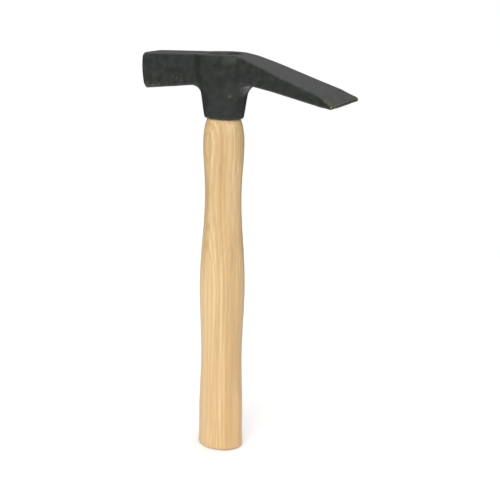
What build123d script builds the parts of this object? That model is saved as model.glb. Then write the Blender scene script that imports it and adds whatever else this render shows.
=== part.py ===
from build123d import *
import os

# Mason's brick hammer: a forged steel head with a square striking poll towards -X and a broad, drooping
# cutting blade towards +X, on an oval ash handle held by a hardwood wedge and a steel ring wedge.
# Millimetres. Origin at the centre of the handle's butt, +Z up along the handle.

# ---- overall ----
overall_length = 300.0  # butt of the handle to the top of the head
strike_reach = 62.1  # handle axis to the striking face
blade_reach = 91.5  # handle axis to the cutting edge

# ---- head: eye, the tapered hole that the handle fills ----
socket_depth = 45.2  # top of the head down to the rim of the socket, and so the eye's length
eye_half_width = 12.2  # along X, at the rim
eye_half_depth = 9.6  # along Y
eye_flare = 0.7  # the eye is wider by this much all round at the top

# ---- head: poll ----
poll_half_depth = 12.1  # at the striking face
poll_height = 24.2
poll_root_height = 20.2  # at the handle's axis
poll_droop = 2.6  # fall of the poll's top from the axis to the striking face
face_lean = 1.3  # the foot of the striking face lies this much nearer to the handle
face_chamfer = 2.6
face_corner = 3.2  # corner radius of the face's flat
poll_round = 1.7  # rounding of the poll's long edges
poll_inset = 1.07  # the poll's root lies this far inside the cheeks' sides, at the height of its foot

# ---- head: socket and cheeks, one tapered column round the handle ----
rim_wall_width = 1.9  # steel between the eye and the outside of the rim, along X
rim_wall_depth = 1.8  # the same along Y
rim_land = 0.3  # flat left between the rim's rounding and the eye
rim_fullness = 2.2  # exponent of the rim's oval: 2 is an ellipse, more is squarer
cheek_wall_width = 6.7  # steel between the eye and the outside of the cheeks at the top, along X
cheek_wall_depth = 4.3  # the same along Y
cheek_fullness = 2.8

# ---- head: blade, as stations of reach, drop of its top below the head's top, thickness, half width ----
blade_root = (3.0, 1.4, 15.0)  # hidden inside the cheeks, and this much narrower at each side
blade_root_inset = 1.8
blade_crown = (12.0, 0.2, 17.8)  # the highest place, where the blade leaves the cheeks' top
blade_crown_inset = 1.2
blade_shoulder = (21.0, 2.1, 17.3, 14.4)
blade_neck = (30.0, 4.9, 15.4, 16.2)
blade_middle = (46.0, 10.0, 11.3, 18.6)
bevel_length = 10.5  # ground bevel along the cutting edge
bevel_drop = 21.3  # top of the blade where the bevel starts
bevel_thickness = 7.0
bevel_half_width = 20.0
edge_drop = 27.4  # top of the cutting edge
edge_thickness = 1.2  # the edge is left blunt
edge_half_width = 24.0
blade_round = 2.0  # rounding of the blade's long edges
edge_round = 0.4
poll_crease_fillet = 4.0  # between the cheeks and the poll
blade_crease_fillet = 2.0  # between the cheeks and the blade

# ---- handle: half widths along X and where they are ----
section_ratio = 0.8  # depth along Y over width along X
butt_half_width = 18.0
butt_round = 2.0
flare_height = 20.0  # above the butt
flare_half_width = 17.3
grip_waist_height = 58.0
grip_waist_half_width = 16.4
belly_place = 0.358  # share of the way from the waist to the neck
belly_half_width = 17.25
taper_place = 0.695  # the same
taper_half_width = 15.8
neck_below_rim = 46.0
neck_half_width = 14.1
swell_below_rim = 14.5
swell_proud_width = 1.2  # the swell stands this far beyond the outside of the rim, along X
swell_proud_depth = 0.84  # the same along Y
throat_below_rim = 4.0
throat_inset = 0.5  # the throat lies this far inside the outside of the rim
tenon_clearance = 0.05  # between the tenon and the eye, all round
tenon_recess = 2.6  # the tenon ends this far below the top of the head

# ---- wedges ----
wedge_length = 28.0
wedge_thick_end = 3.2
wedge_thin_end = 1.2
kerf_below_wedge = 5.0  # saw cut left open under the wedge's thin end
ring_outer_radius = 6.2
ring_wall = 1.7
ring_length = 11.0
ring_taper = 0.5  # its outside is smaller by this much at the lower end

head_top = overall_length
rim_height = head_top - socket_depth
tenon_top = head_top - tenon_recess
rim_half_width = eye_half_width + rim_wall_width
rim_half_depth = eye_half_depth + rim_wall_depth
cheek_half_width = eye_half_width + eye_flare + cheek_wall_width
cheek_half_depth = eye_half_depth + eye_flare + cheek_wall_depth
overrun = 1.0  # cutters pass this far beyond what they cut
oval_points = 32  # points round the column's ovals


def oval(half_width, half_depth, fullness):
    """Points of a superellipse, an ellipse whose sides grow fuller as the exponent passes 2."""
    points = []
    for step in range(oval_points):
        direction = Vector(1, 0).rotate(Axis.Z, 360.0 * step / oval_points)
        x = half_width * abs(direction.X) ** (2 / fullness)
        y = half_depth * abs(direction.Y) ** (2 / fullness)
        points.append((x if direction.X > 0 else -x, y if direction.Y > 0 else -y))
    return points


def eye_half_sizes(height, clearance=0.0):
    """Half width and half depth of the eye at a height, less a clearance."""
    opening = eye_flare * (height - rim_height) / socket_depth - clearance
    return eye_half_width + opening, eye_half_depth + opening


def across(reach, drop, thickness, lean=0.0):
    """Plane square to the head's length, at the middle of a section whose top lies drop below
    the head's top. With a lean, the section's foot lies that much further along +X than its top."""
    centre = Vector(reach + lean / 2, 0, head_top - drop - thickness / 2)
    return Plane(origin=centre, x_dir=(0, 1, 0), z_dir=(thickness, 0, lean))


# ---- hammer head: one forging ----
with BuildPart() as hammer_head:
    # socket and cheeks
    with BuildSketch(Plane.XY.offset(rim_height)):
        with BuildLine():
            Spline(oval(rim_half_width, rim_half_depth, rim_fullness), periodic=True)
        make_face()
    with BuildSketch(Plane.XY.offset(head_top)):
        with BuildLine():
            Spline(oval(cheek_half_width, cheek_half_depth, cheek_fullness), periodic=True)
        make_face()
    loft(ruled=True)
    fillet(hammer_head.edges().group_by(Axis.Z)[0], radius=rim_wall_depth - rim_land)

    # the cheeks' top falls with the poll on one side and with the blade's shoulder on the other
    shoulder_reach, shoulder_drop = blade_shoulder[:2]
    with BuildSketch(Plane.XZ):
        with BuildLine():
            Polyline(
                (-strike_reach, head_top - poll_droop),
                (0, head_top),
                (blade_crown[0], head_top),
                (shoulder_reach, head_top - shoulder_drop),
                (shoulder_reach, head_top + overrun),
                (-strike_reach, head_top + overrun),
                close=True,
            )
        make_face()
    extrude(amount=cheek_half_depth + overrun, both=True, mode=Mode.SUBTRACT)

    # poll: a square bar that falls and deepens towards the striking face, chamfered all round
    cheek_narrowing = (cheek_half_depth - rim_half_depth) * poll_root_height / socket_depth
    root_half_depth = cheek_half_depth - cheek_narrowing - poll_inset
    face_height = poll_height - 2 * face_chamfer
    face_half_depth = poll_half_depth - face_chamfer
    with BuildSketch(across(0, 0, poll_root_height)):
        RectangleRounded(2 * root_half_depth, poll_root_height, poll_round)
    with BuildSketch(across(face_chamfer - strike_reach, poll_droop, poll_height, face_lean)):
        RectangleRounded(2 * poll_half_depth, poll_height, poll_round)
    with BuildSketch(across(-strike_reach, poll_droop + face_chamfer, face_height, face_lean)):
        RectangleRounded(2 * face_half_depth, face_height, face_corner)
    loft(ruled=True)
    fillet(hammer_head.edges(Select.NEW), radius=poll_crease_fillet)

    # blade: curves over the shoulder, then thins and broadens to the bevel, where it flares to its edge
    for reach, drop, thickness, half_width in (
        (*blade_root, cheek_half_depth - blade_root_inset),
        (*blade_crown, cheek_half_depth - blade_crown_inset),
        blade_shoulder,
        blade_neck,
    ):
        with BuildSketch(across(reach, drop, thickness)):
            RectangleRounded(2 * half_width, thickness, blade_round)
    loft()
    creases = hammer_head.edges(Select.NEW).filter_by_position(Axis.Z, 0, head_top - blade_round)
    fillet(creases, radius=blade_crease_fillet)
    for reach, drop, thickness, half_width, corner in (
        (*blade_neck, blade_round),
        (*blade_middle, blade_round),
        (blade_reach - bevel_length, bevel_drop, bevel_thickness, bevel_half_width, blade_round),
        (blade_reach, edge_drop, edge_thickness, edge_half_width, edge_round),
    ):
        with BuildSketch(across(reach, drop, thickness)):
            RectangleRounded(2 * half_width, thickness, corner)
    loft(ruled=True)

    # eye
    for height in (rim_height, head_top):
        with BuildSketch(Plane.XY.offset(height)):
            Ellipse(*eye_half_sizes(height))
    loft(ruled=True, mode=Mode.SUBTRACT)

# ---- ring wedge: a steel ring driven into the tenon's end; the wood closes round both its sides ----
ring_foot = tenon_top - ring_length
ring_inner_radius = ring_outer_radius - ring_wall
with BuildPart() as ring_wedge:
    with BuildSketch(Plane.XZ):
        with BuildLine():
            Polyline(
                (ring_inner_radius, tenon_top),
                (ring_outer_radius, tenon_top),
                (ring_outer_radius - ring_taper, ring_foot),
                (ring_inner_radius, ring_foot),
                close=True,
            )
        make_face()
    revolve(axis=Axis.Z)

# ---- wood wedge: hardwood, driven into a saw cut along the tenon's wide way ----
wedge_foot = tenon_top - wedge_length
wedge_taper = [
    (-wedge_thin_end / 2, wedge_foot),
    (-wedge_thick_end / 2, tenon_top),
    (wedge_thick_end / 2, tenon_top),
    (wedge_thin_end / 2, wedge_foot),
]
with BuildPart() as wood_wedge:
    for height in (rim_height, tenon_top):
        with BuildSketch(Plane.XY.offset(height)):
            Ellipse(*eye_half_sizes(height, tenon_clearance))
    loft(ruled=True)
    with BuildSketch(Plane.YZ):
        with BuildLine():
            Polyline(*wedge_taper, close=True)
        make_face()
    extrude(amount=cheek_half_width, both=True, mode=Mode.INTERSECT)
    add(ring_wedge.part, mode=Mode.SUBTRACT)

# ---- handle: ash, one piece from the butt to the end of the tenon ----
neck_height = rim_height - neck_below_rim
waist_to_neck = neck_height - grip_waist_height
with BuildPart() as handle:
    for height, half_width in (
        (0.0, butt_half_width),
        (flare_height, flare_half_width),
        (grip_waist_height, grip_waist_half_width),
        (grip_waist_height + belly_place * waist_to_neck, belly_half_width),
        (grip_waist_height + taper_place * waist_to_neck, taper_half_width),
        (neck_height, neck_half_width),
    ):
        with BuildSketch(Plane.XY.offset(height)):
            Ellipse(half_width, half_width * section_ratio)
    with BuildSketch(Plane.XY.offset(rim_height - swell_below_rim)):
        Ellipse(rim_half_width + swell_proud_width, rim_half_depth + swell_proud_depth)
    with BuildSketch(Plane.XY.offset(rim_height - throat_below_rim)):
        Ellipse(rim_half_width - throat_inset, rim_half_depth - throat_inset)
    with BuildSketch(Plane.XY.offset(rim_height)):
        Ellipse(*eye_half_sizes(rim_height, tenon_clearance))
    loft()
    fillet(handle.edges().group_by(Axis.Z)[0], radius=butt_round)

    # tenon, which fills the eye
    for height in (rim_height, tenon_top):
        with BuildSketch(Plane.XY.offset(height)):
            Ellipse(*eye_half_sizes(height, tenon_clearance))
    loft(ruled=True)

    # saw cut, opened to the wedge's taper, with its straight foot left open
    with BuildSketch(Plane.YZ):
        with BuildLine():
            Polyline(
                *wedge_taper,
                (wedge_thin_end / 2, wedge_foot - kerf_below_wedge),
                (-wedge_thin_end / 2, wedge_foot - kerf_below_wedge),
                close=True,
            )
        make_face()
    extrude(amount=cheek_half_width, both=True, mode=Mode.SUBTRACT)
    add(ring_wedge.part, mode=Mode.SUBTRACT)

os.makedirs("parts", exist_ok=True)
hammer_head.part.label = "hammer_head"
export_step(hammer_head.part, "parts/hammer_head.step")
handle.part.label = "handle"
export_step(handle.part, "parts/handle.step")
wood_wedge.part.label = "wood_wedge"
export_step(wood_wedge.part, "parts/wood_wedge.step")
ring_wedge.part.label = "ring_wedge"
export_step(ring_wedge.part, "parts/ring_wedge.step")
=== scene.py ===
import math

import bpy
import numpy as np
from mathutils import Matrix, Vector


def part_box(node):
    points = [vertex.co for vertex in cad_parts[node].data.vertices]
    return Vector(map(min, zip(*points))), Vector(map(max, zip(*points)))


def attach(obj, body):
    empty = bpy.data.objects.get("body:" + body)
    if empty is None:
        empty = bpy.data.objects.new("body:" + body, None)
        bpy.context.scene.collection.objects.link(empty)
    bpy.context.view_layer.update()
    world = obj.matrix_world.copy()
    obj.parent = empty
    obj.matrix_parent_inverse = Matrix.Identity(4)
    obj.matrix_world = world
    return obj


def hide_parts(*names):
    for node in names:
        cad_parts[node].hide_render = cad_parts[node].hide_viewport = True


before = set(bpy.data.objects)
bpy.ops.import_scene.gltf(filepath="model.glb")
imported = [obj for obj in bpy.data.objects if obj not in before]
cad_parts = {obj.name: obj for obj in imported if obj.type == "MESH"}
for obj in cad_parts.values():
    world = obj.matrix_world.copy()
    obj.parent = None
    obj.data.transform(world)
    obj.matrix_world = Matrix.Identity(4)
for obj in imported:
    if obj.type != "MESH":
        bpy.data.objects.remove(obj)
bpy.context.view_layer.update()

# ---- Bench top and viewpoint ----------------------------------------------------------------------
# The hammer stands upright on the butt of its handle, on a plain pale bench top. It is looked at from
# the blade's side, from just above the head, as a tool is shown in a maker's catalogue.


def surface_object(name, points, faces, smooth=True):
    """An object at the origin whose mesh has these points, in metres, and these faces."""
    mesh = bpy.data.meshes.new(name)
    mesh.from_pydata(points, [], faces)
    mesh.polygons.foreach_set("use_smooth", np.full(len(faces), smooth))
    mesh.update()
    piece = bpy.data.objects.new(name, mesh)
    bpy.context.scene.collection.objects.link(piece)
    return piece


def add_node(tree, kind, sockets=(), **settings):
    """A shader node. Each socket is given a value, or the output that feeds it."""
    made = tree.nodes.new("ShaderNode" + kind)
    for name, value in settings.items():
        setattr(made, name, value)
    for socket, value in dict(sockets).items():
        if isinstance(value, bpy.types.NodeSocket):
            tree.links.new(value, made.inputs[socket])
        else:
            made.inputs[socket].default_value = value
    return made


def new_material(name):
    """An empty material: its node tree and its output node."""
    material = bpy.data.materials.new(name)
    material.use_nodes = True
    tree = material.node_tree
    tree.nodes.clear()
    return material, tree, tree.nodes.new("ShaderNodeOutputMaterial")


bench_reach = 0.6
bench = surface_object(
    "bench_top",
    [(-bench_reach, -bench_reach, 0), (bench_reach, -bench_reach, 0),
     (bench_reach, bench_reach, 0), (-bench_reach, bench_reach, 0)],
    [(0, 1, 2, 3)],
    smooth=False,
)
bench_paint, tree, out = new_material("pale_bench_paint")
shader = add_node(tree, "BsdfPrincipled", {"Base Color": (0.9, 0.9, 0.9, 1), "Roughness": 0.9})
shader.inputs["Specular IOR Level"].default_value = 0.0
tree.links.new(shader.outputs[0], out.inputs[0])
bench.data.materials.append(bench_paint)

head_low, head_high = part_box("hammer_head")
camera_from_axis = (0.3478, -0.6668)
camera_above_head = 0.0761
view_turn, view_down, view_tip = (math.radians(angle) for angle in (26.0, 16.28, 1.1))
camera_data = bpy.data.cameras.new("catalogue_view")
camera_data.lens = 76.25
camera_data.sensor_width = 36.0
camera = bpy.data.objects.new("catalogue_view", camera_data)
camera.matrix_world = (
    Matrix.Translation(Vector((*camera_from_axis, head_high.z + camera_above_head)))
    @ Matrix.Rotation(view_turn, 4, "Z")
    @ Matrix.Rotation(math.pi / 2 - view_down, 4, "X")
    @ Matrix.Rotation(view_tip, 4, "Z")
)
bpy.context.scene.collection.objects.link(camera)
bpy.context.scene.camera = camera

# ---- Handle -----------------------------------------------------------------------------------------
# One piece of straight-grained ash, turned oval, waisted and swelled for the hand, sanded, and dipped
# in a thin clear lacquer. Its pith lay well outside the blank, so the rings run nearly straight across.


def to_range(tree, value, low, high, to_low=0.0, to_high=1.0):
    """The value's place between low and high, eased at both ends, as a number from to_low to to_high."""
    sockets = {0: value, 1: low, 2: high, 3: to_low, 4: to_high}
    return add_node(tree, "MapRange", sockets, interpolation_type="SMOOTHSTEP").outputs[0]


def sum_of(tree, first, second, scale=1.0):
    """The first number plus the second times a scale."""
    return add_node(tree, "Math", {0: second, 1: scale, 2: first}, operation="MULTIPLY_ADD").outputs[0]


def product(tree, first, second):
    """The first number times the second."""
    return add_node(tree, "Math", {0: first, 1: second}, operation="MULTIPLY").outputs[0]


def blend_colour(tree, share, first, second, blend_type="MIX"):
    """The first colour, turned into the second by a share from 0 to 1."""
    sockets = {0: share, 6: first, 7: second}
    return add_node(tree, "Mix", sockets, data_type="RGBA", blend_type=blend_type).outputs[2]


def millimetres(tree):
    """Object coordinates in mm."""
    place = add_node(tree, "TexCoord").outputs["Object"]
    return add_node(tree, "Mapping", {0: place, 3: (1000, 1000, 1000)}).outputs[0]


def mottle(tree, place, along, detail=2.0, roughness=0.5):
    """Noise whose grain has these lengths along X, Y and Z, in the units of the place."""
    stretched = add_node(tree, "Mapping", {0: place, 3: tuple(1 / length for length in along)}).outputs[0]
    sockets = {"Vector": stretched, "Scale": 1.0, "Detail": detail, "Roughness": roughness}
    return add_node(tree, "TexNoise", sockets).outputs[0]


def noise_along(tree, value):
    """Noise along a line: it changes with one number, about once for every 1 of it."""
    sockets = {"W": value, "Scale": 1.0, "Detail": 2.0}
    return add_node(tree, "TexNoise", sockets, noise_dimensions="1D").outputs[0]


def lacquered_wood(name, pith, ring, pale, tan, deep, tone_width, gloss):
    """Ring-porous hardwood, cut from the solid. The growth rings are the distance from a pith line that
    leans slightly, broken up by noise; each ring darkens quickly into its porous early wood and pales
    slowly out of it. Fibres and open pores are noise drawn out along Z, which shows as dots on end grain."""
    material, tree, out = new_material(name)
    place = millimetres(tree)

    # growth rings: lengths in mm, and along Z far longer than across
    lean = (math.radians(0.35), math.radians(-0.5), 0)
    slow_wander = 0.9
    uneven_years = 4.0
    years_change = 0.16
    frayed = 0.3
    from_pith = {0: place, 1: (-pith[0], -pith[1], 0), 2: lean, 3: (1, 1, 0)}
    centred = add_node(tree, "Mapping", from_pith).outputs[0]
    radius = add_node(tree, "VectorMath", {0: centred}, operation="LENGTH").outputs["Value"]
    wander = mottle(tree, place, (26, 26, 380), detail=1)
    radius = sum_of(tree, radius, wander, slow_wander)
    spacing = noise_along(tree, product(tree, radius, years_change))
    radius = sum_of(tree, radius, spacing, uneven_years)
    radius = sum_of(tree, radius, mottle(tree, place, (2.5, 2.5, 160), detail=1), frayed)
    age = add_node(tree, "Math", {0: radius, 1: ring}, operation="DIVIDE").outputs[0]
    season = add_node(tree, "Math", {0: age}, operation="FRACT").outputs[0]

    # how porous the wood is over a ring's year: a steep rise, then a long fall to dense late wood
    early = add_node(tree, "FloatCurve", {1: season})
    curve = early.mapping.curves[0]
    curve.points[0].location = (0.0, 0.25)
    curve.points[1].location = (1.0, 0.2)
    for spot in ((0.07, 1.0), (0.22, 0.82), (0.42, 0.22), (0.8, 0.0)):
        curve.points.new(*spot)
    early.mapping.update()
    early = early.outputs[0]

    # fibres, pores and the slow change of tone across the blank
    fibre = mottle(tree, place, (0.5, 0.5, 60), detail=4, roughness=0.6)
    streak = mottle(tree, place, (1.6, 1.6, 190), detail=2)
    broad = mottle(tree, place, (9, 9, 240), detail=1)
    pore = mottle(tree, place, (0.32, 0.32, 7), detail=1)
    pore = product(tree, to_range(tree, pore, 0.58, 0.70), to_range(tree, early, 0.25, 0.8, 0.12, 1.0))

    colour = blend_colour(tree, product(tree, early, 0.62), pale, tan)
    colour = blend_colour(tree, to_range(tree, streak, 0.3, 0.72, 0.0, tone_width), colour, tan)
    colour = blend_colour(tree, to_range(tree, broad, 0.42, 0.75, 0.0, tone_width * 0.8), colour, deep)
    shade = to_range(tree, fibre, 0.25, 0.75, 0.86, 1.1)
    grey = add_node(tree, "CombineColor", {0: shade, 1: shade, 2: shade}).outputs[0]
    colour = blend_colour(tree, 1.0, colour, grey, "MULTIPLY")
    colour = blend_colour(tree, product(tree, pore, 0.4), colour, deep)

    # handling has browned the wood a little, from its middle down to the butt
    browned_from = 170.0
    height = add_node(tree, "SeparateXYZ", {0: place}).outputs[2]
    colour = blend_colour(tree, to_range(tree, height, browned_from, 0.0, 0.0, 0.3), colour, deep)

    # end grain drinks the lacquer and goes darker
    facing = add_node(tree, "SeparateXYZ", {0: add_node(tree, "NewGeometry").outputs["Normal"]}).outputs[2]
    end = to_range(tree, add_node(tree, "Math", {0: facing}, operation="ABSOLUTE").outputs[0], 0.6, 0.95)
    colour = blend_colour(tree, product(tree, end, 0.55), colour, deep)

    rough = to_range(tree, fibre, 0.2, 0.8, gloss, gloss + 0.14)
    rough = sum_of(tree, rough, end, 0.2)
    grain_height = sum_of(tree, product(tree, fibre, 0.35), pore, -1.0)
    bump = add_node(tree, "Bump", {"Height": grain_height, "Strength": 0.35, "Distance": 0.00008})
    looks = {"Base Color": colour, "Roughness": rough, "Normal": bump.outputs[0]}
    shader = add_node(tree, "BsdfPrincipled", looks)
    shader.inputs["Specular IOR Level"].default_value = 0.4
    shader.inputs["Coat Weight"].default_value = 0.25
    shader.inputs["Coat Roughness"].default_value = 0.32
    tree.links.new(shader.outputs[0], out.inputs[0])
    return material


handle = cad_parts["handle"]
ash = lacquered_wood(
    "lacquered_ash",
    pith=(38.0, 92.0),
    ring=1.5,
    pale=(0.72, 0.53, 0.285, 1),
    tan=(0.57, 0.37, 0.165, 1),
    deep=(0.42, 0.235, 0.085, 1),
    tone_width=0.6,
    gloss=0.42,
)
handle.data.materials.clear()
handle.data.materials.append(ash)

# ---- Wood wedge -------------------------------------------------------------------------------------
# A sliver of darker hardwood, driven with glue into the saw cut in the tenon and sanded off level with
# it, so that only its end grain shows in the eye.

wood_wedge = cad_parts["wood_wedge"]
wedge_wood = lacquered_wood(
    "wedge_hardwood",
    pith=(15.0, -60.0),
    ring=1.5,
    pale=(0.42, 0.235, 0.10, 1),
    tan=(0.30, 0.15, 0.06, 1),
    deep=(0.17, 0.075, 0.03, 1),
    tone_width=0.5,
    gloss=0.5,
)
wood_wedge.data.materials.clear()
wood_wedge.data.materials.append(wedge_wood)

# ---- Ring wedge -------------------------------------------------------------------------------------
# A short steel tube, tapered outside, driven into the end of the tenon across the wood wedge. It is
# turned, left bare, and marked by the hammer that drove it.

ring_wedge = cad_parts["ring_wedge"]
ring_steel, tree, out = new_material("turned_ring_steel")
place = millimetres(tree)
flat_place = add_node(tree, "Mapping", {0: place, 3: (1, 1, 0)}).outputs[0]
from_axis = add_node(tree, "VectorMath", {0: flat_place}, operation="LENGTH").outputs["Value"]
marks_per_mm = 9.0
tool_mark = noise_along(tree, product(tree, from_axis, marks_per_mm))
stain = mottle(tree, place, (2.2, 2.2, 2.2), detail=4, roughness=0.6)
colour = blend_colour(tree, to_range(tree, stain, 0.4, 0.68), (0.46, 0.45, 0.43, 1), (0.20, 0.17, 0.14, 1))
rough = to_range(tree, sum_of(tree, tool_mark, stain, 0.8), 0.5, 1.2, 0.3, 0.55)
bump = add_node(tree, "Bump", {"Height": tool_mark, "Strength": 0.3, "Distance": 0.00004})
looks = {"Base Color": colour, "Roughness": rough, "Normal": bump.outputs[0]}
shader = add_node(tree, "BsdfPrincipled", looks)
shader.inputs["Metallic"].default_value = 1.0
tree.links.new(shader.outputs[0], out.inputs[0])
ring_wedge.data.materials.clear()
ring_wedge.data.materials.append(ring_steel)

# ---- Hammer head ------------------------------------------------------------------------------------
# One steel drop forging: a socket that widens upwards into two cheeks, a square poll and a drooping
# blade, all run into each other with hollow fillets. It is ground at the face and the bevel, and then
# dipped in black lacquer, which has worn and chipped since. Sizes are in mm, with z from the head's top.

# overall: the frame's box, and how much further the visible head reaches
strike_reach = -head_low.x * 1000 + 0.6
blade_reach = head_high.x * 1000 + 0.3
socket_depth = (head_high.z - head_low.z) * 1000 + 0.5
edge_half_width = head_high.y * 1000 + 0.8

# socket and cheeks: half width along X, half depth along Y and fullness, at the rim and at the top
rim_oval = (14.2, 11.6, 2.2)
cheek_oval = (20.8, 15.4, 2.9)
cheek_top_height = 9.0
cheek_top_inset = 1.9
rim_round = 1.5
eye_rim_half = (12.2, 9.6)
eye_top_half = (12.9, 10.3)
eye_lip = 1.5

# poll
poll_half_depth = 11.9
poll_neck_half_depth = 9.9
poll_neck = 16.0
poll_ease = 14.0
poll_drop = 2.2
poll_height = 25.7
poll_root_height = 20.4
poll_round = 1.9
top_round = 1.0
poll_fillet = 5.5
poll_side_fillet = 3.0
face_lean = 1.3
face_chamfer = 2.4
face_crown = 1.3
face_round = 1.5

# blade: how far out along it its foot, its half width and its top are given. Its widths run on past the
# cutting edge, so that easing them doesn't narrow it there. Each ease is for the body, then the bevel.
bevel_length = 10.5
bevel_start = blade_reach - bevel_length
foot_places = (3.0, 12.0, 21.0, 30.0, 46.0, bevel_start, blade_reach)
foot_levels = (-17.4, -18.6, -19.6, -20.4, -22.6, -29.2, -29.6)
half_places = (3.0, 12.0, 21.0, 30.0, 46.0, 70.0, bevel_start, blade_reach + 4.0)
half_widths = (10.0, 11.0, 12.4, 13.8, 16.4, 18.7, 20.2, edge_half_width + 1.9)
half_ease = 7.0
bevel_onset = (60.0, 78.0)
foot_eases = (8.0, 1.2)
crown_eases = (6.0, 1.2)
crown_places = (-strike_reach, 0.0, 12.0, 21.0, 30.0, 46.0, bevel_start, blade_reach)
crown_levels = (-poll_drop, 0.4, 0.5, -0.9, -3.8, -9.4, -21.1, -26.9)
crown_cosine = 0.97
blade_fillet = 9.0
edge_round = 1.1
round_places = (12.0, 46.0)
long_rounds = (1.6, 2.0)
most_round = 0.36

# both bars widen outwards, so their sides face this much towards the head's middle
bar_lean = 0.15


def eased(at, places, levels, ease):
    """Straight runs from level to level whose corners are eased: the mean of the runs over a stretch as
    long as the ease, taken at nine places."""
    shares = np.linspace(-0.5, 0.5, 9)
    return sum(np.interp(at + share * ease, places, levels) for share in shares) / len(shares)


def rounded_edge(first, second, radius):
    """Distance outside two solids' common part: the greater of their distances, and where both are nearer
    than the radius, the distance from a circle that touches both."""
    both = np.hypot(np.maximum(first + radius, 0), np.maximum(second + radius, 0))
    return np.minimum(np.maximum(first, second), -radius) + both


def hollow_fillet(first, second, radius, alike):
    """Distance outside two solids joined by a rolled fillet. Alike is the cosine of the angle between the
    ways that they face. Where each gap to the fillet's centre is more than that share of the other, the
    point lies beside the fillet, and is as far out as from a circle that touches both solids; elsewhere
    it is as far out as from the nearer solid. Solids that face the same way get no fillet."""
    alike = np.minimum(alike, 0.99)
    first_gap = radius - first
    second_gap = radius - second
    squared = (first_gap**2 + second_gap**2 - 2 * alike * first_gap * second_gap) / (1 - alike**2)
    beside = (first_gap > alike * second_gap) & (second_gap > alike * first_gap)
    return np.where(beside, radius - np.sqrt(np.maximum(squared, 0)), np.minimum(first, second))


def oval_column(x, y, half_width, half_depth, fullness):
    """Distance outside a superellipse, and how far its side faces along X. The superellipse's own measure
    is the root of the summed powers of x and y over the half sizes, and is 1 on it; the distance is that
    measure less 1, over the measure's slope."""
    across = np.maximum(np.abs(x) / half_width, 1e-5)
    along = np.maximum(np.abs(y) / half_depth, 1e-5)
    measure = (across**fullness + along**fullness) ** (1 / fullness)
    slope_x = (across / measure) ** (fullness - 1) / half_width
    slope_y = (along / measure) ** (fullness - 1) / half_depth
    slope = np.hypot(slope_x, slope_y)
    return (measure - 1) / slope, np.sign(x) * slope_x / slope


def open_bar(side_gap, foot_gap, radius):
    """Distance outside a bar that has two sides and a foot but no top, with its long edges rounded, and
    how far it faces along Y: 1 on its sides and 0 under its foot."""
    lift = np.maximum(0.01 - radius - np.maximum(side_gap, foot_gap), 0)
    sideways = np.maximum(side_gap + radius + lift, 0)
    downwards = np.maximum(foot_gap + radius + lift, 0)
    return rounded_edge(side_gap, foot_gap, radius), sideways / np.hypot(sideways, downwards)


ripple_lengths = (40, 31, 24, 19, 15, 12, 10, 9)
ripple_steepness = 0.0016
random = np.random.default_rng(7)
ripple_waves = []
for length in ripple_lengths:
    way = random.normal(size=3)
    way *= 2 * np.pi / length / np.linalg.norm(way)
    ripple_waves.append((ripple_steepness * length, way, random.uniform(0, 2 * np.pi)))


def forged_ripple(x, y, z):
    """The uneven skin that the dies leave, in mm: a sum of flat sine waves that run in random directions,
    each as high as its length times the steepness."""
    return sum(
        height * np.sin(way[0] * x + way[1] * y + way[2] * z + phase)
        for height, way, phase in ripple_waves
    )


def head_field(x, y, z):
    """How far a point lies outside the forging, in mm, and below 0 inside it. The column of the socket and
    cheeks is joined to the poll's bar and to the blade's bar by hollow fillets, which die away where both
    face the same way. All three run on upwards, and are then cut together: by the crown line on top, the
    face, the cutting edge, the rim, and the tapered oval of the eye."""
    ripple = forged_ripple(x, y, z)
    side = np.abs(y)
    rise = 1 + z / socket_depth
    column_width, column_depth, fullness = (
        rim + (cheek - rim) * rise for rim, cheek in zip(rim_oval, cheek_oval)
    )
    near_top = np.clip(1 + z / cheek_top_height, 0, 1)
    column_depth = column_depth - cheek_top_inset * near_top**2
    column, forward = oval_column(x, y, column_width, column_depth, fullness)
    column_sideways = np.sqrt(1 - forward**2)
    crown = eased(x, crown_places, crown_levels, np.interp(x, bevel_onset, crown_eases))

    # poll
    face_middle = -poll_drop - poll_height / 2
    bulge = face_crown * ((y / poll_half_depth) ** 2 + ((z - face_middle) / poll_half_depth) ** 2)
    behind_face = x + strike_reach + face_crown - face_lean * (-poll_drop - z) / poll_height - bulge
    pinch = np.maximum(face_chamfer - behind_face, 0)
    poll_foot = -np.interp(x, (-strike_reach, 0), (poll_drop + poll_height, poll_root_height))
    poll_half = eased(x, (-strike_reach, -poll_neck), (poll_half_depth, poll_neck_half_depth), poll_ease)
    poll, poll_sideways = open_bar(side - poll_half + pinch, poll_foot + pinch - z, poll_round)
    alike = column_sideways * poll_sideways + bar_lean * forward
    radius = poll_fillet + (poll_side_fillet - poll_fillet) * poll_sideways
    with_poll = hollow_fillet(column, np.maximum(poll, x), radius, alike)

    # blade
    foot = eased(x, foot_places, foot_levels, np.interp(x, bevel_onset, foot_eases))
    half = eased(x, half_places, half_widths, half_ease)
    thickness = crown - foot
    long_round = np.clip(np.interp(x, round_places, long_rounds), 0.1, thickness * most_round)
    blade, blade_sideways = open_bar(side - half, foot - z, long_round)
    alike = column_sideways * blade_sideways - bar_lean * forward
    with_blade = hollow_fillet(column, np.maximum(blade, -x), blade_fillet, alike)

    # cuts
    body = np.minimum(with_poll, with_blade) + ripple
    above = (z - crown + pinch) * crown_cosine
    body = rounded_edge(body, above + ripple, np.where(x < 0, top_round, long_round))
    body = rounded_edge(body, -behind_face, face_round)
    body = rounded_edge(body, x - blade_reach, edge_round)
    body = rounded_edge(body, -socket_depth - z, rim_round)
    eye_sizes = (low + (high - low) * rise for low, high in zip(eye_rim_half, eye_top_half))
    return rounded_edge(body, -oval_column(x, y, *eye_sizes, 2.0)[0], eye_lip * np.clip(rise, 0.2, 1))


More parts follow.
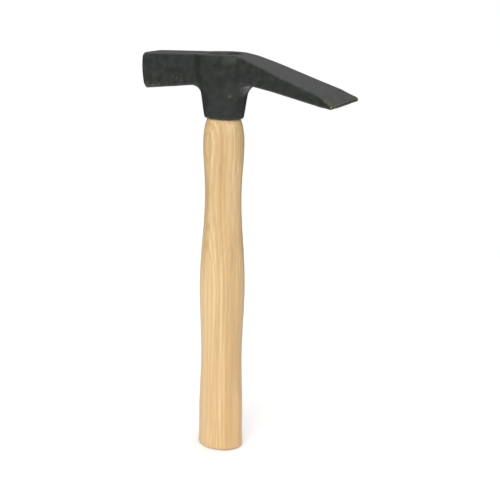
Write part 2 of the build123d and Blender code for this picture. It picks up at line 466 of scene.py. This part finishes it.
def slope_of(field, points, nudge=0.02):
    """The field's slope at each point: its change over a nudge either way along X, Y and Z."""
    ways = nudge * np.eye(3)
    changes = [field(*(points + way).T) - field(*(points - way).T) for way in ways]
    return np.stack(changes, axis=1) / (2 * nudge)


def drop_onto(field, points, steps, longest=1.0):
    """Points moved down a field's slope until the field is 0. Each step goes the field over the slope's
    length, where the slope isn't nearly level, and never farther than the longest move."""
    least_squared_slope = 0.2
    for _ in range(steps):
        slope = slope_of(field, points)
        move = field(*points.T) / np.maximum((slope**2).sum(axis=1), least_squared_slope)
        points = points - slope * np.clip(move, -longest, longest)[:, None]
    return points


# knocks in the steel: near where each one is, the radius of what struck it, and how deep it went
knocks = np.array([
    (-35.8, -12.1, -17.1, 2.0, 0.28),
    (-32.2, -12.1, -18.3, 1.5, 0.35),
    (-29.2, -12.1, -19.2, 2.2, 0.22),
    (-46.8, -12.1, -24.0, 1.6, 0.40),
    (-52.5, -12.1, -25.4, 2.2, 0.45),
    (-57.5, -11.5, -25.6, 1.8, 0.40),
    (-60.8, -8.0, -24.8, 1.6, 0.35),
    (-61.5, 5.0, -4.5, 1.8, 0.35),
    (-20.0, 12.0, -12.0, 2.0, 0.25),
    (10.1, -11.5, -28.2, 2.6, 0.12),
    (29.5, -16.1, -17.5, 1.8, 0.22),
    (37.7, -17.4, -18.8, 1.6, 0.22),
    (50.0, 18.5, -16.0, 1.7, 0.30),
    (66.0, 9.0, -16.4, 1.6, 0.25),
    (81.0, -4.9, -21.3, 1.3, 0.40),
    (87.6, -20.5, -25.1, 1.8, 0.45),
    (90.8, -19.0, -27.2, 1.2, 0.50),
    (91.3, 8.0, -28.0, 1.0, 0.35),
])
knock_places = drop_onto(head_field, knocks[:, :3], steps=6)
knock_ways = slope_of(head_field, knock_places)
knock_ways /= np.linalg.norm(knock_ways, axis=1)[:, None]
knock_centres = knock_places + knock_ways * (knocks[:, 3] - knocks[:, 4])[:, None]


def knocked_field(x, y, z):
    """The forging's field, with a ball cut out of it at each knock, whose rim is slightly rounded."""
    rim_softness = 0.3
    body = head_field(x, y, z)
    for (ball_x, ball_y, ball_z), ball in zip(knock_centres, knocks[:, 3]):
        inside = ball - np.sqrt((x - ball_x) ** 2 + (y - ball_y) ** 2 + (z - ball_z) ** 2)
        body = rounded_edge(body, inside, rim_softness)
    return body


def skin(field, low, high, step):
    """The closed surface on which a field is 0. The field is taken on a grid of points; a cell that the
    surface passes gets one vertex, the mean of where it cuts the cell's edges; each cut grid edge gets one
    face, through the four cells round it. The vertices are then moved down the field's slope onto 0."""
    axes = [np.arange(start, end + step, step) for start, end in zip(low, high)]
    values = field(*np.meshgrid(*axes, indexing="ij", sparse=True))
    shape = np.array(values.shape)
    strides = np.array([shape[1] * shape[2], shape[2], 1])
    cut_points = []
    cut_cells = []
    for axis in range(3):
        first = np.take(values, range(shape[axis] - 1), axis)
        last = np.take(values, range(1, shape[axis]), axis)
        place = np.argwhere((first < 0) != (last < 0))
        first, last = first[tuple(place.T)], last[tuple(place.T)]
        point = place + np.eye(3)[axis] * (first / (first - last))[:, None]
        across, along = np.eye(3, dtype=int)[(axis + 1) % 3], np.eye(3, dtype=int)[(axis + 2) % 3]
        corners = np.stack([place, place - across, place - across - along, place - along], axis=1)
        cells = corners @ strides
        cells = np.where((first < 0)[:, None], cells, cells[:, ::-1])
        cut_points.append(point)
        cut_cells.append(cells)
    points = np.repeat(np.concatenate(cut_points), 4, axis=0)
    faces = np.concatenate(cut_cells)
    used, number = np.unique(faces.ravel(), return_inverse=True)
    count = np.bincount(number)
    vertices = np.stack([np.bincount(number, points[:, axis]) / count for axis in range(3)], axis=1)
    vertices = np.array([axis[0] for axis in axes]) + vertices * step
    vertices = drop_onto(field, vertices, steps=4, longest=step / 2)
    slope = slope_of(field, vertices)
    return vertices, number.reshape(-1, 4), slope / np.linalg.norm(slope, axis=1)[:, None]


def outward_turn(vertices, faces, normals, passes):
    """How sharply the surface turns at each vertex, in turns of the normal per mm, more than 0 where it
    bulges and less where it is hollow: the mean over its edges of the change of the normal along the edge,
    smoothed by passes of averaging with the neighbours."""
    start = faces.ravel()
    end = np.roll(faces, -1, axis=1).ravel()
    start, end = np.concatenate([start, end]), np.concatenate([end, start])
    way = vertices[end] - vertices[start]
    rate = ((normals[end] - normals[start]) * way).sum(axis=1) / np.maximum((way**2).sum(axis=1), 1e-6)
    count = np.bincount(start)
    turn = np.bincount(start, rate) / count
    for _ in range(passes):
        turn = (turn + np.bincount(start, turn[end]) / count) / 2
    return turn


grid_step = 0.55
margin = 2.0
vertices, faces, normals = skin(
    knocked_field,
    (-strike_reach - margin, -edge_half_width - margin, -socket_depth - margin),
    (blade_reach + margin, edge_half_width + margin, margin),
    grid_step,
)
head = surface_object("forged_head", (vertices + (0, 0, head_high.z * 1000)) / 1000, faces)

# where the lacquer has gone: near these places, as far as the fourth number and as wholly as the last,
# and at the knocks, twice as far out as the rim of each
bare_patches = np.array([
    (-56.5, -12.0, -25.5, 6.0, 1.0),
    (-50.0, -12.0, -26.5, 5.0, 1.0),
    (88.0, -20.5, -25.5, 6.0, 1.0),
    (90.5, -17.5, -27.0, 5.0, 1.0),
    (60.0, 18.5, -17.0, 4.0, 1.0),
    (-60.5, 6.0, -4.5, 4.5, 1.0),
    (10.1, -11.8, -28.2, 5.0, 0.45),
])
knock_spread = 2 * np.sqrt(2 * knocks[:, 3] * knocks[:, 4])
knock_bareness = np.full(len(knocks), 0.8)
knock_patches = np.column_stack([knock_places, knock_spread, knock_bareness])
bareness = np.zeros(len(vertices))
for place_x, place_y, place_z, spread, most in np.concatenate([bare_patches, knock_patches]):
    away = np.linalg.norm(vertices - (place_x, place_y, place_z), axis=1)
    bareness = np.maximum(bareness, most * (1 - away / spread))
struck_depth = 2.2
marks = {
    "turn": outward_turn(vertices, faces, normals, passes=3),
    "hollow": -outward_turn(vertices, faces, normals, passes=60),
    "bareness": bareness,
    "ground": np.clip((vertices[:, 0] - bevel_start) / bevel_length, 0, 1),
    "struck": np.clip(1 - (vertices[:, 0] + strike_reach) / struck_depth, 0, 1),
}
for name, values in marks.items():
    head.data.attributes.new(name, "FLOAT", "POINT").data.foreach_set("value", values.astype(np.float32))

lacquer, tree, out = new_material("black_lacquered_steel")
place = millimetres(tree)
mark = {name: add_node(tree, "Attribute", attribute_name=name).outputs["Fac"] for name in marks}

# unevenness, by the length of its grain in mm; what is drawn out follows the forging's length
fine = mottle(tree, place, (0.9, 0.9, 0.9), detail=4, roughness=0.6)
patchy = mottle(tree, place, (5.0, 5.0, 5.0), detail=4, roughness=0.55)
cloudy = mottle(tree, place, (22, 22, 22), detail=2)
drawn = mottle(tree, place, (14, 3.0, 1.2), detail=3, roughness=0.6)
peel = mottle(tree, place, (1.7, 1.7, 1.7), detail=1)

# the lacquer itself: darker in the hollows, partly where it pooled and partly as painted shade in the
# creases, and greyer where it is rubbed thin
thick_black = (0.018, 0.0195, 0.018, 1)
even_black = (0.032, 0.035, 0.032, 1)
cloudy_black = (0.025, 0.0285, 0.0265, 1)
pooled_and_shaded_black = (0.004, 0.005, 0.0045, 1)
thin_grey = (0.085, 0.088, 0.080, 1)
colour = blend_colour(tree, to_range(tree, patchy, 0.3, 0.75), thick_black, even_black)
colour = blend_colour(tree, to_range(tree, cloudy, 0.35, 0.7, 0, 0.6), colour, cloudy_black)
unworn = to_range(tree, mark["bareness"], 0.12, 0.0)
# painted shade: hollows and creases are darkened towards near black, on top of the lacquer that pooled there
pooled_and_shaded = product(tree, to_range(tree, mark["hollow"], 0.008, 0.05), unworn)
colour = blend_colour(tree, product(tree, pooled_and_shaded, 0.5), colour, pooled_and_shaded_black)
uneven = sum_of(tree, fine, patchy, 1.0)
rubbed = sum_of(tree, mark["turn"], uneven, 0.28)
thin = to_range(tree, rubbed, 0.40, 0.66, 0, 0.35)
colour = blend_colour(tree, thin, colour, thin_grey)

# bare steel, dull and khaki: at the sharpest edges, in the patches and on the face; the cutting edge is
# paler, because it is honed
steel_khaki = (0.115, 0.108, 0.078, 1)
steel_brown = (0.045, 0.042, 0.028, 1)
honed_grey = (0.24, 0.235, 0.20, 1)
worn_edge = to_range(tree, rubbed, 0.72, 0.84)
ragged = sum_of(tree, mark["bareness"], uneven, 0.9)
patch = to_range(tree, ragged, 1.28, 1.42)
honed = to_range(tree, sum_of(tree, mark["ground"], fine, 0.12), 0.97, 1.04)
struck = to_range(tree, sum_of(tree, mark["struck"], patchy, 0.9), 1.15, 1.35)
bare = worn_edge
for share in (patch, honed, product(tree, struck, 0.8)):
    bare = add_node(tree, "Math", {0: bare, 1: share}, operation="MAXIMUM").outputs[0]
steel_tone = blend_colour(tree, to_range(tree, fine, 0.35, 0.7), steel_khaki, steel_brown)
steel_tone = blend_colour(tree, product(tree, honed, 0.8), steel_tone, honed_grey)
colour = blend_colour(tree, bare, colour, steel_tone)

# a brownish bloom in patches over the ground bevel
bloom_brown = (0.060, 0.052, 0.036, 1)
bloom = product(tree, to_range(tree, mark["ground"], 0.0, 0.5, 0, 0.45), to_range(tree, patchy, 0.35, 0.7))
colour = blend_colour(tree, bloom, colour, bloom_brown)

# gloss and relief: orange peel in the lacquer, and bare steel lies lower by the lacquer's thickness
metal = product(tree, bare, 0.75)
rough = to_range(tree, sum_of(tree, patchy, drawn, 0.6), 0.5, 1.1, 0.30, 0.44)
rough = sum_of(tree, rough, thin, 0.06)
rough = sum_of(tree, rough, pooled_and_shaded, 0.3)
height = sum_of(tree, product(tree, peel, 0.35), patchy, 0.6)
height = sum_of(tree, height, drawn, 0.25)
height = sum_of(tree, height, bare, -0.5)
bump = add_node(tree, "Bump", {"Height": height, "Strength": 0.5, "Distance": 0.00012})
shader = add_node(
    tree,
    "BsdfPrincipled",
    {"Base Color": colour, "Metallic": metal, "Roughness": rough, "Normal": bump.outputs[0]},
)
shader.inputs["Specular IOR Level"].default_value = 0.22
tree.links.new(shader.outputs[0], out.inputs[0])
head.data.materials.append(lacquer)
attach(head, "root")
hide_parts("hammer_head")

# ---- Light ------------------------------------------------------------------------------------------
# A white room that is brightest overhead, soft in front and dim near the horizon, so that the tops shine
# and the sides stay dark up to their outlines. One broad lamp shines from the front, one from overhead.


def add_sun(name, strength, spread, from_point):
    """A distant lamp that shines from a direction, as wide as its spread in degrees."""
    lamp = bpy.data.lights.new(name, "SUN")
    lamp.energy = strength
    lamp.angle = math.radians(spread)
    sun = bpy.data.objects.new(name, lamp)
    sun.rotation_euler = Vector(from_point).to_track_quat("Z", "Y").to_euler()
    bpy.context.scene.collection.objects.link(sun)


add_sun("front_lamp", 2.0, 60, (0.3, -1.0, 0.45))
add_sun("overhead_lamp", 0.8, 60, (0.1, 0.1, 1.0))

room = bpy.data.worlds.new("white_room")
room.use_nodes = True
tree = room.node_tree
tree.nodes.clear()
direction = add_node(tree, "SeparateXYZ", {0: add_node(tree, "TexCoord").outputs["Generated"]}).outputs
overhead = to_range(tree, direction[2], -0.05, 0.75, 0.05, 0.85)
in_front = to_range(tree, direction[1], -0.2, -0.9, 0.0, 0.25)
glow = sum_of(tree, overhead, in_front)

# what the camera sees past the bench is plain white
seen = add_node(tree, "LightPath").outputs["Is Camera Ray"]
strength = add_node(tree, "Mix", {0: seen, 2: glow, 3: 1.0}, data_type="FLOAT").outputs[0]
sky = add_node(tree, "Background", {"Color": (1, 1, 1, 1), "Strength": strength})
world_out = tree.nodes.new("ShaderNodeOutputWorld")
tree.links.new(sky.outputs[0], world_out.inputs[0])
bpy.context.scene.world = room
bpy.context.scene.view_settings.view_transform = "Standard"
